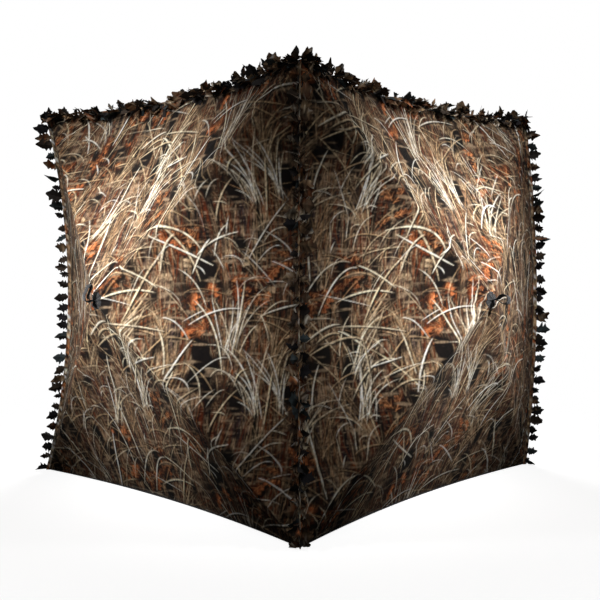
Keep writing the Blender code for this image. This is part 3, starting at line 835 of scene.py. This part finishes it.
def build_panel(tile, panel):
    """The printed outer face of a wall or the roof, and its black coated inner face."""
    name = panel.name
    if name in OPENINGS:
        points, depth, faces = panel.ringed_surface(OPENINGS[name])
        inner, inner_depth, inner_faces = panel.ringed_surface(OPENINGS[name], -CLOTH_DEPTH)
    else:
        cells = FINE_CELLS if name in ("front", "right") else PLAIN_CELLS
        points, depth = panel.surface(cells)
        faces = grid_faces(cells + 1, cells + 1)
        inner, inner_depth = panel.surface(cells // 2, -CLOTH_DEPTH * 1.5)
        inner_faces = grid_faces(cells // 2 + 1, cells // 2 + 1)
    cloth = printed(tile, panel, name + "_printed_cloth", points, faces, depth)
    lining = mesh_object(name + "_coated_lining", inner, inner_faces[:, ::-1], MATERIALS["lining"])
    follow_hub(lining, panel, inner_depth)
    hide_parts(panel.node)


def build_window(tile, panel):
    """The net, the flap behind it, and the tape that binds the window's edge."""
    name = panel.name
    (low, high), (left, right) = WINDOW_DEPTH, WINDOW_WIDTH
    box = (low + NET_INSET, high - NET_INSET, left + NET_INSET, right - NET_INSET)
    net = mesh_object(name + "_window_knotless_net", *net_threads(panel, 0, *box), MATERIALS["net"])
    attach(net, name + "_window")
    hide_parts(name + "_window_net")
    depths = spaced([low - FLAP_MARGIN, high + FLAP_MARGIN], 0.006)
    alongs = spaced([left - FLAP_MARGIN, right + FLAP_MARGIN], 0.008)
    points, faces = panel.patch(0, depths, alongs, -FLAP_DROP)
    flap = printed(tile, panel, name + "_window_cover", points, faces)
    back, faces = panel.patch(0, depths, alongs, -FLAP_DROP - FLAP_DEPTH)
    lining = mesh_object(name + "_window_cover_lining", back, faces[:, ::-1], MATERIALS["lining"])
    for piece in (flap, lining):
        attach(piece, name + "_window_flap")
    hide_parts(name + "_window_flap")
    bind_opening(panel, 0, WINDOW_DEPTH, WINDOW_WIDTH, name + "_window_tape", 0.020)


def net_threads(panel, side, low, high, left, right):
    """Threads both ways across part of a side, as narrow ribbons that share the panel's surface."""
    places = []
    for along in spaced([left, right], 0.0065):
        depths = spaced([low, high], 0.02)
        places.append((depths, np.full(len(depths), along)))
    for depth in spaced([low, high], 0.0085):
        alongs = spaced([left, right], 0.02)
        places.append((np.full(len(alongs), depth), alongs))
    parts = []
    for depths, alongs in places:
        line = panel.point(side, depths, alongs, -0.0005)
        across = unit(np.cross(unit(np.gradient(line, axis=0)), panel.w)) * (NET_THREAD / 2)
        pair = np.stack([line - across, line + across], 1).reshape(-1, 3)
        parts.append((pair, grid_faces(2, len(line))))
    return joined(parts)


SLANT = 0.80  # about how far it is from a seam to the hub, along the cloth
# Across the tape, from its outer edge: the share of its width and the height off the cloth
TAPE_SECTION = ((0, 0.0001), (0.08, 0.0012), (0.5, 0.0014), (0.92, 0.0012), (1.0, -0.0022))


def bind_opening(panel, side, deep, wide, name, reach):
    """Webbing tape round an opening, with its mitred corners, sewn on the outer face."""
    reach_deep, reach_wide = reach / SLANT, reach / (2 * HALF * (1 - deep[0]))
    outer = [(deep[0] - reach_deep, wide[0] - reach_wide), (deep[0] - reach_deep, wide[1] + reach_wide)]
    outer += [(deep[1] + reach_deep, wide[1] + reach_wide), (deep[1] + reach_deep, wide[0] - reach_wide)]
    inner = [(deep[0], wide[0]), (deep[0], wide[1]), (deep[1], wide[1]), (deep[1], wide[0])]
    parts, depths = [], []
    run = np.linspace(0, 1, 60)[:, None]
    for i in range(4):
        j = (i + 1) % 4
        out = np.array(outer[i]) * (1 - run) + np.array(outer[j]) * run
        into = np.array(inner[i]) * (1 - run) + np.array(inner[j]) * run
        rows = []
        for share, height in TAPE_SECTION:
            where = out * (1 - share) + into * share
            rows.append(panel.point(side, where[:, 0], where[:, 1], height))
            depths.append(where[:, 0])
        parts.append((np.concatenate(rows), grid_faces(len(run), len(TAPE_SECTION))[:, ::-1]))
    tape = mesh_object(name, *joined(parts), MATERIALS["webbing"])
    follow_hub(tape, panel, np.concatenate(depths))


def build_door(tile, panel):
    """The printed door panel, and the zip tape with its two rows of teeth."""
    (low, high), (left, right) = DOOR_DEPTH, DOOR_WIDTH
    rim = ZIP_GAP + ZIP_WIDTH
    depths = spaced([low + ZIP_GAP, high - rim - ZIP_GAP], 0.006)
    alongs = spaced([left + rim + ZIP_GAP, right - rim - ZIP_GAP], 0.0045)
    points, faces = panel.patch(1, depths, alongs)
    door = printed(tile, panel, "back_door_printed_cloth", points, faces)
    behind, faces = panel.patch(1, depths, alongs, -CLOTH_DEPTH)
    lining = mesh_object("back_door_coated_lining", behind, faces[:, ::-1], MATERIALS["lining"])
    for piece in (door, lining):
        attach(piece, "back_door")
    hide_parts("back_door")

    runs = (
        (spaced([low + ZIP_GAP, high - ZIP_GAP], 0.01), np.linspace(left + ZIP_GAP, left + rim, 4)),
        (np.linspace(high - rim, high - ZIP_GAP, 4), spaced([left + rim, right - rim], 0.02)),
        (spaced([low + ZIP_GAP, high - ZIP_GAP], 0.01), np.linspace(right - rim, right - ZIP_GAP, 4)),
    )
    parts = [panel.patch(1, depths, alongs, -0.0004) for depths, alongs in runs]
    tape = mesh_object("back_door_zip_tape", *joined(parts), MATERIALS["webbing"])
    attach(tape, "back_door_frame")
    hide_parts("back_door_zip")
    middle = ZIP_GAP + ZIP_WIDTH / 2
    teeth = []
    for depth in np.arange(low + 2 * ZIP_GAP, high - middle, 0.0032):
        for along in (left + middle, right - middle):
            spot = panel.point(1, np.array([depth]), np.array([along]))[0]
            next_spot = panel.point(1, np.array([depth + 0.002]), np.array([along]))[0]
            teeth.append((spot, unit(next_spot - spot)))
    zipped = boxes_object("back_door_zip_teeth", teeth, panel.w, TOOTH_HALF, MATERIALS["plastic"])
    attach(zipped, "back_door_frame")
    bind_opening(panel, 1, DOOR_DEPTH, DOOR_WIDTH, "back_door_edge_tape", 0.012)


def boxes_object(name, spots, up, half, material):
    """Small rounded blocks: spots are (place, direction), half their half sizes along, across and up."""
    corners = np.array([(x, y, z) for z in (-0.4, 1) for x, y in ((-1, -1), (1, -1), (1, 1), (-1, 1))], float)
    corners[4:, :2] *= 0.72
    sides = np.array([(3, 2, 1, 0), (4, 5, 6, 7), (0, 1, 5, 4), (1, 2, 6, 5), (2, 3, 7, 6), (3, 0, 4, 7)])
    places = np.array([spot for spot, _ in spots])
    ways = np.array([way for _, way in spots])
    across = unit(np.cross(up, ways))
    rise = unit(np.cross(ways, across))
    axes = np.stack([ways * half[0], across * half[1], rise * half[2]], 1)
    points = places[:, None, :] + np.einsum("kc,ncd->nkd", corners, axes)
    faces = sides[None] + 8 * np.arange(len(spots))[:, None, None]
    return mesh_object(name, points.reshape(-1, 3), faces.reshape(-1, 4), material, smooth=False)


def build_stitches(panel):
    """Two rows of thread along each edge of a panel."""
    spots, depths = [], []
    for side in range(4):
        length = CORNER_HEIGHT if side in (1, 3) and panel.name != "roof" else 2 * HALF
        for depth in (0.017, 0.025):
            alongs = np.arange(0.02, 0.98, 0.0062 / length)
            line = panel.point(side, np.full(len(alongs), depth), alongs, 0.0003)
            ways = unit(np.gradient(line, axis=0))
            spots += list(zip(line, ways))
            depths += [depth] * 8 * len(alongs)
    thread = boxes_object(panel.name + "_edge_stitches", spots, panel.w, STITCH_HALF, MATERIALS["thread"])
    follow_hub(thread, panel, np.array(depths))


# ---------------------------------------------------------------- leafy trim

LEAF_STATIONS = (0.0, 0.12, 0.20, 0.31, 0.40, 0.52, 0.62, 0.76, 1.0)
LEAF_HALF_WIDTHS = (0.05, 0.16, 0.48, 0.34, 0.58, 0.36, 0.46, 0.26, 0.08)
LEAF_SWEEPS = (0.0, 0.0, 0.06, 0.0, 0.07, 0.0, 0.06, 0.0, -0.03)
LOWEST_LEAF = 0.003  # off the ground
LEAF_BACKS = ("242225", "332f2e", "43382f", "3c4547", "2a2421")


def leaf_shape(rng, length, width):
    """A die-cut leaf as a grid of three columns: left edge, midrib and right edge. z is its curl."""
    x = np.array(LEAF_STATIONS)
    half = np.array(LEAF_HALF_WIDTHS)
    sweep = np.array(LEAF_SWEEPS)
    curl, fold, twist = rng.normal(0.10, 0.30), rng.normal(0.15, 0.35), rng.normal(0, 0.45)
    rows = []
    for side in (-1, 0, 1):
        reach = half * side * rng.uniform(0.7, 1.25, len(x))
        along = x + (sweep if side else 0) + rng.normal(0, 0.012, len(x))
        lift = curl * along**2 + fold * np.abs(reach) + twist * along * reach
        rows.append(np.stack([along * length, reach * width, lift * length], 1))
    return np.stack(rows, 1).reshape(-1, 3)


def build_leaves(seam, tile, spots, rng, size, dark_share, painted_light_gain=1.05):
    """A seam's leaves at spots of (place, direction, face): each points along direction and faces face."""
    points, colors = [], []
    for place, way, face in spots:
        scale = rng.uniform(0.62, 1.25)
        shape = leaf_shape(rng, size[0] * scale, size[1] * scale * rng.uniform(0.8, 1.2))
        way = unit(way)
        across = unit(np.cross(face, way))
        points.append(place + shape @ np.stack([way, across, np.cross(way, across)]))
        where = rng.uniform(0, 0.7, 2)
        if rng.uniform() < dark_share:
            color = np.tile(srgb(LEAF_BACKS[rng.integers(len(LEAF_BACKS))]), (len(shape), 1))
        else:
            # Painted light: the leaves' print colours are raised by a gain above the wall's print
            color = print_colors(tile, shape[:, 1] + where[0] * 2, shape[:, 0] + where[1]) * painted_light_gain
        colors.append(color * rng.uniform(0.7, 1.25, (len(shape), 1)))
    grid = grid_faces(3, len(LEAF_STATIONS))
    points, faces = joined([(leaf, grid) for leaf in points])
    points[:, 2] = np.maximum(points[:, 2], LOWEST_LEAF)
    leaves = mesh_object(seam + "_leaf_trim", points, faces, MATERIALS["leaf"], np.concatenate(colors), False)
    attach(leaves, "root")
    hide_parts(seam + "_seam_trim")


def around(out, side, angle):
    return out * math.cos(angle) + side * math.sin(angle)


def build_corner_trim(tile, corner, seed, turns, pitch, size, dark_share):
    """Leaves sewn into a corner seam. turns are the mean angles that its rows lean from straight out."""
    rng = np.random.default_rng(seed)
    out = unit(CORNERS[corner])
    side = np.cross(UP, out)
    spots = []
    for t in np.arange(0.010, 0.985, pitch / CORNER_HEIGHT):
        for turn in turns:
            place = corner_seam(corner, t + rng.normal(0, 0.003)) + out * rng.uniform(0.002, 0.010)
            angle = turn + rng.normal(0, 0.22)
            way = around(out, side, angle) + UP * rng.normal(-0.04, 0.25)
            flat = around(-side, out, angle)
            upright = np.cross(UP, way) * rng.choice((-1, 1))
            face = upright + flat * rng.normal(0, 0.35) + UP * rng.normal(0, 0.3)
            spots.append((place, way, unit(face)))
    build_leaves(corner, tile, spots, rng, size, dark_share)


def build_roof_trim(tile, seed):
    """Leaves round the roof seam, thicker in a clump over each corner."""
    rng = np.random.default_rng(seed)
    spots = []
    for wall in WALLS:
        u, _, out = wall_axes(wall)
        for t in np.arange(0.004, 0.996, 0.015 / (2 * HALF)):
            near_corner = min(t, 1 - t) * 2 * HALF < 0.09
            for _ in range(4 if near_corner else 2):
                at = min(max(t + rng.normal(0, 0.003), 0), 1)
                place = roof_seam(wall, at) + (out + UP) * rng.uniform(0, 0.007)
                angle = rng.normal(0.15, 0.75)
                way = around(out, UP, angle) + u * rng.normal(0, 0.75)
                face = np.cross(u, way) + u * rng.normal(0, 0.5)
                spots.append((place, way, unit(face)))
    # The roof trim's leaves get 1.7 times the print's colour, painted light on them
    build_leaves("roof", tile, spots, rng, (0.048, 0.038), 0.42, 1.7)


FIN_WIDTH = 0.015
# Half of the fin's section: how far out of the seam, and half its thickness there
FIN_SECTION = ((-0.002, 0.0035), (0.005, 0.0022), (0.0135, 0.0018), (FIN_WIDTH, 0.0))
CORD_RADIUS = 0.0042
CORD_SIDES = 8


def build_seam_fins(tile):
    """The folded allowance that stands out of each corner seam, the roof seam's piping and the hem cords."""
    section = FIN_SECTION + tuple((reach, -half) for reach, half in FIN_SECTION[-2::-1])
    t = np.linspace(0.0, 1.0, 160)
    wave = 0.0012 * np.sin(t * 90)[:, None]
    for corner in CORNERS:
        out = unit(CORNERS[corner])
        base = corner_seam(corner, t)
        across = np.cross(UP, out)
        rows = []
        for reach, half in section:
            rows.append(base + out * reach + across * (half + wave * max(reach, 0) / FIN_WIDTH))
        points = np.concatenate(rows)
        colors = print_colors(tile, points @ across * 0.6 + points @ out * 3, points[:, 2])
        colors = np.minimum(colors * 1.9, 0.85)
        faces = grid_faces(len(t), len(section))
        fin = mesh_object(corner + "_seam_allowance", points, faces, MATERIALS["print"], colors)
        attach(fin, "root")
    t = np.linspace(0, 1, 120)
    lines = [roof_seam(wall, t[:-1]) + (wall_axes(wall)[2] + UP) * 0.0015 for wall in WALLS]
    build_cord("roof_seam_piping", np.concatenate(lines), True)
    for wall in WALLS:
        build_cord(wall + "_hem_cord", hem(wall, t) + UP * 0.0045, False)


def build_cord(name, line, closed):
    """A round cord along a line of points."""
    if closed:
        way = unit(np.roll(line, -1, axis=0) - np.roll(line, 1, axis=0))
    else:
        way = unit(np.gradient(line, axis=0))
    first = unit(np.cross(way, UP + 0.01))
    second = np.cross(way, first)
    turn = (np.arange(CORD_SIDES) * 2 * math.pi / CORD_SIDES)[None, :, None]
    ring = first[:, None] * np.cos(turn) + second[:, None] * np.sin(turn)
    points = (line[:, None] + CORD_RADIUS * ring).reshape(-1, 3)
    cord = mesh_object(name, points, ring_faces(CORD_SIDES, len(line), closed), MATERIALS["webbing"])
    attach(cord, "root")


# ---------------------------------------------------------------- hubs and corners

# The pull loops' lines as (outwards, up) in metres from the hub's tip
LOOP_LINES = {
    "raised": ((0.001, 0.0), (0.012, -0.002), (0.024, -0.004), (0.034, 0.002), (0.036, 0.016), (0.029, 0.034),
               (0.018, 0.052), (0.010, 0.056), (0.007, 0.048), (0.013, 0.032), (0.020, 0.016), (0.018, 0.006),
               (0.008, 0.002), (0.001, 0.001)),
    "round": ((0.001, 0.0), (0.014, -0.002), (0.024, -0.006), (0.038, -0.014), (0.052, -0.012), (0.060, 0.0),
              (0.055, 0.014), (0.040, 0.019), (0.026, 0.012), (0.014, 0.003), (0.001, 0.001)),
}


def smooth_line(points, count):
    """A Catmull-Rom curve through the points."""
    points = np.asarray(points, float)
    padded = np.concatenate([[2 * points[0] - points[1]], points, [2 * points[-1] - points[-2]]])
    made = []
    for i in range(len(points) - 1):
        p0, p1, p2, p3 = padded[i : i + 4]
        for t in np.linspace(0, 1, count, endpoint=False):
            made.append(0.5 * (2 * p1 + (p2 - p0) * t + (2 * p0 - 5 * p1 + 4 * p2 - p3) * t**2
                               + (3 * p1 - p0 - 3 * p2 + p3) * t**3))
    made.append(points[-1])
    return np.array(made)


def build_loop(panel, kind):
    """A loop of ribbed webbing held by the hub, folded a little along its middle."""
    line = smooth_line(LOOP_LINES[kind], 6)
    start = panel.tip + panel.w * 0.0015
    centre = start + line[:, :1] * panel.w + line[:, 1:] * panel.v
    way = unit(np.gradient(centre, axis=0))
    normal = unit(np.cross(panel.u, way))
    share = np.linspace(0, 1, len(line))
    width = 0.0105 + 0.0025 * np.sin(math.pi * share)
    twist = 0.25 * np.sin(2 * math.pi * share)[:, None]
    side = unit(panel.u + normal * twist)
    normal = unit(np.cross(side, way))
    outline = [(-1, 0.3), (-0.96, 1), (-0.5, 0.9), (0, 0.8), (0.5, 0.9), (0.96, 1), (1, 0.3)]
    outline += [(1, -0.3), (0.96, -1), (0.5, -1.1), (0, -1.2), (-0.5, -1.1), (-0.96, -1), (-1, -0.3)]
    rows = [centre + side * (width * x)[:, None] + normal * (0.0011 * y) for x, y in outline]
    points = np.stack(rows, 1).reshape(-1, 3)
    faces = ring_faces(len(outline), len(line))
    loop = mesh_object(panel.name + "_webbing_pull", points, faces, MATERIALS["webbing"])
    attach(loop, panel.hub)
    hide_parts(panel.name + "_pull_loop")


PATCH_SIDES = 96
# The hub patch's rings: how far each is from the tip, and how high it stands off the cloth
PATCH_RINGS = (
    (0.030, 0.0002),
    (0.0285, 0.0016),
    (0.026, 0.0019),
    (0.0235, 0.0012),
    (0.012, 0.0014),
    (0.006, 0.003),
    (0.002, 0.0042),
)


def build_hub_patch(panel):
    """The black rubbery cap sewn over the cloth's tip, with a raised rim."""
    turns = np.arange(PATCH_SIDES) / PATCH_SIDES * 4
    side, along = turns.astype(int), turns % 1
    points, depths = [], []
    for reach, height in PATCH_RINGS:
        depth = 1 - reach / HALF
        row = np.zeros((PATCH_SIDES, 3))
        for s in range(4):
            mine = side == s
            corner_cut = 1 - 0.28 * np.abs(2 * along[mine] - 1) ** 2
            row[mine] = panel.point(s, 1 - (1 - depth) * corner_cut, along[mine], height)
        points.append(row)
        depths += [depth] * PATCH_SIDES
    faces = ring_faces(PATCH_SIDES, len(PATCH_RINGS))[:, [0, 3, 2, 1]]
    patch = mesh_object(panel.name + "_hub_patch", np.concatenate(points), faces, MATERIALS["webbing"])
    follow_hub(patch, panel, np.array(depths))


def build_pocket(corner, level):
    """A sewn webbing pocket in the shape of its CAD solid, rounded, with a padded rim."""
    node = f"{corner}_{level}_pocket"
    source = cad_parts[node]
    obj = bpy.data.objects.new(f"{corner}_{level}_webbing_pocket", source.data.copy())
    obj.matrix_world = source.matrix_world.copy()
    bpy.context.scene.collection.objects.link(obj)
    obj.data.materials.clear()
    obj.data.materials.append(MATERIALS["webbing"])
    bevel = obj.modifiers.new("rim", "BEVEL")
    bevel.width = 0.0025
    bevel.segments = 3
    split = obj.modifiers.new("fine", "SUBSURF")
    split.subdivision_type = "SIMPLE"
    split.levels = split.render_levels = 2
    apply_modifiers(obj)
    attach(obj, "root")
    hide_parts(node)


def apply_modifiers(obj):
    bpy.context.view_layer.update()
    graph = bpy.context.evaluated_depsgraph_get()
    mesh = bpy.data.meshes.new_from_object(obj.evaluated_get(graph))
    obj.modifiers.clear()
    obj.data = mesh


def follow_hub(piece, panel, depth):
    """Sets each point on the way to the hub by its depth, bakes the object's transform into its mesh, then
    puts the points back where they were.
    """
    rest = np.empty(len(depth) * 3, np.float32)
    piece.data.vertices.foreach_get("co", rest)
    eased = 0.5 - np.sin(np.arcsin(1 - 2 * np.clip(depth, 0, 1)) / 3)
    spread = panel.centre + eased[:, None] * (panel.tip - panel.centre)
    piece.data.vertices.foreach_set("co", spread.astype(np.float32).ravel())
    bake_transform(piece)
    piece.data.vertices.foreach_set("co", rest)
    piece.data.update()


# ---------------------------------------------------------------- camera, floor and light

CAMERA_PLACE = (2.503, -2.670, 0.89)
CAMERA_AHEAD = (-0.6743, 0.7385, 0.0)
FLOOR_RADIUS = 3.4
FLOOR_SIDES = 64
FLOOR_RINGS = 12

# Spot lights: place, target, watts and cone in degrees. Soft lights: place, direction, watts and size
SPOT_LIGHTS = {
    "left_key_light": ((0.20, -2.75, 1.75), (-0.02, -0.95, 0.93), 430, 39),
    "right_key_light": ((2.75, -0.20, 1.75), (0.95, 0.02, 0.93), 410, 39),
    "left_top_light": ((-0.5, -1.9, 2.6), (-0.2, -0.85, 1.35), 85, 56),
    "right_top_light": ((1.9, 0.5, 2.6), (0.85, 0.2, 1.35), 88, 56),
}
SOFT_LIGHTS = {
    "front_soft_light": ((2.0, -2.0, 3.1), (-1.0, 1.0, -1.3), 14, 1.8),
    "back_soft_light": ((-2.5, 2.5, 1.9), (1.0, -1.0, -0.45), 75, 1.6),
}


def floor_material():
    """A pale floor that glows a little, so that it meets the white background, and fades out into it."""
    nodes = Nodes("pale_floor", 0.9, specular=0.1)
    color = nodes.ramp(nodes.noise(1.2, 2.0), [(0.3, (0.50, 0.50, 0.50)), (0.7, (0.54, 0.54, 0.54))])
    where = nodes.node("ShaderNodeTexCoord")
    away = nodes.node("ShaderNodeVectorMath", operation="LENGTH")
    nodes.join(where.outputs["Object"], away.inputs[0])
    fade = nodes.node("ShaderNodeMapRange", interpolation_type="SMOOTHSTEP")
    for socket, value in (("From Min", 1.2), ("From Max", 2.3), ("To Min", 1.0), ("To Max", 0.0)):
        fade.inputs[socket].default_value = value
    nodes.join(away.outputs["Value"], fade.inputs["Value"])
    nodes.join(fade.outputs["Result"], nodes.shader.inputs["Alpha"])
    path = nodes.node("ShaderNodeLightPath")
    nodes.shader.inputs["Emission Color"].default_value = (1, 1, 1, 1)
    glow = nodes.math("MULTIPLY", path.outputs["Is Camera Ray"], 0.86)
    nodes.join(glow, nodes.shader.inputs["Emission Strength"])
    return nodes.finish(nodes.mix(path.outputs["Is Camera Ray"], (0.07, 0.07, 0.07), color))


def aim(obj, place, direction):
    obj.location = place
    obj.rotation_mode = "QUATERNION"
    obj.rotation_quaternion = Vector(direction).to_track_quat("-Z", "Y")
    bpy.context.scene.collection.objects.link(obj)


def build_stage():
    camera = bpy.data.objects.new("camera", bpy.data.cameras.new("camera"))
    camera.data.lens = 49
    camera.data.shift_y = -0.053
    aim(camera, CAMERA_PLACE, CAMERA_AHEAD)
    bpy.context.scene.camera = camera

    turns = np.arange(FLOOR_SIDES) * 2 * math.pi / FLOOR_SIDES
    rings = np.linspace(0.02, FLOOR_RADIUS, FLOOR_RINGS)
    points = [(r * math.cos(a), r * math.sin(a), -0.0008) for r in rings for a in turns]
    faces = ring_faces(FLOOR_SIDES, FLOOR_RINGS)[:, [0, 3, 2, 1]]
    mesh_object("floor", points, faces, floor_material())

    for name, (place, target, power, cone) in SPOT_LIGHTS.items():
        light = bpy.data.lights.new(name, "SPOT")
        light.energy = power
        light.spot_size = math.radians(cone)
        light.spot_blend = 1.0
        light.shadow_soft_size = 0.16
        aim(bpy.data.objects.new(name, light), place, Vector(target) - Vector(place))
    for name, (place, direction, power, size) in SOFT_LIGHTS.items():
        light = bpy.data.lights.new(name, "AREA")
        light.energy = power
        light.shape = "DISK"
        light.size = size
        aim(bpy.data.objects.new(name, light), place, direction)

    world = bpy.data.worlds.new("studio")
    bpy.context.scene.world = world
    world.use_nodes = True
    tree = world.node_tree
    soft = tree.nodes["Background"]
    soft.inputs["Color"].default_value = (1, 1, 1, 1)
    soft.inputs["Strength"].default_value = 0.06
    seen = tree.nodes.new("ShaderNodeBackground")
    seen.inputs["Strength"].default_value = 1.0
    seen.inputs["Color"].default_value = (1, 1, 1, 1)
    choose = tree.nodes.new("ShaderNodeMixShader")
    path = tree.nodes.new("ShaderNodeLightPath")
    tree.links.new(path.outputs["Is Camera Ray"], choose.inputs["Fac"])
    tree.links.new(soft.outputs[0], choose.inputs[1])
    tree.links.new(seen.outputs[0], choose.inputs[2])
    tree.links.new(choose.outputs[0], tree.nodes["World Output"].inputs["Surface"])
    bpy.context.scene.view_settings.view_transform = "Standard"


def finish_frame_nodes():
    """Finishes for the CAD nodes that stay in sight: crowns, rings, poles and the zip's slider."""
    kinds = {"crown": "plastic", "ring": "steel", "slider": "steel"}
    for name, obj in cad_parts.items():
        if obj.hide_render:
            continue
        kind = "fibreglass" if "_pole_" in name else kinds.get(name.split("_")[-1], "webbing")
        obj.data.materials.clear()
        obj.data.materials.append(MATERIALS[kind])


build_stage()
tile = paint_tile(7)
panels = {name: Panel(name, 40 + seed) for seed, name in enumerate((*WALLS, "roof"))}
for panel in panels.values():
    build_panel(tile, panel)
    build_stitches(panel)
    build_loop(panel, "raised" if panel.name in ("front", "back") else "round")
    build_hub_patch(panel)
for name in ("back", "left"):
    build_window(tile, panels[name])
build_door(tile, panels["back"])
build_corner_trim(tile, "front_left", 1, (0.05,), 0.044, (0.062, 0.042), 0.9)
build_corner_trim(tile, "front_right", 2, (-1.15, -0.2, 1.15), 0.034, (0.042, 0.038), 0.35)
build_corner_trim(tile, "back_right", 3, (-0.35, 0.2), 0.046, (0.055, 0.040), 0.85)
build_corner_trim(tile, "back_left", 4, (-1.1, -0.2, 1.0), 0.036, (0.055, 0.036), 0.6)
build_roof_trim(tile, 5)
build_seam_fins(tile)
for corner in CORNERS:
    for level in ("lower", "upper"):
        build_pocket(corner, level)
finish_frame_nodes()
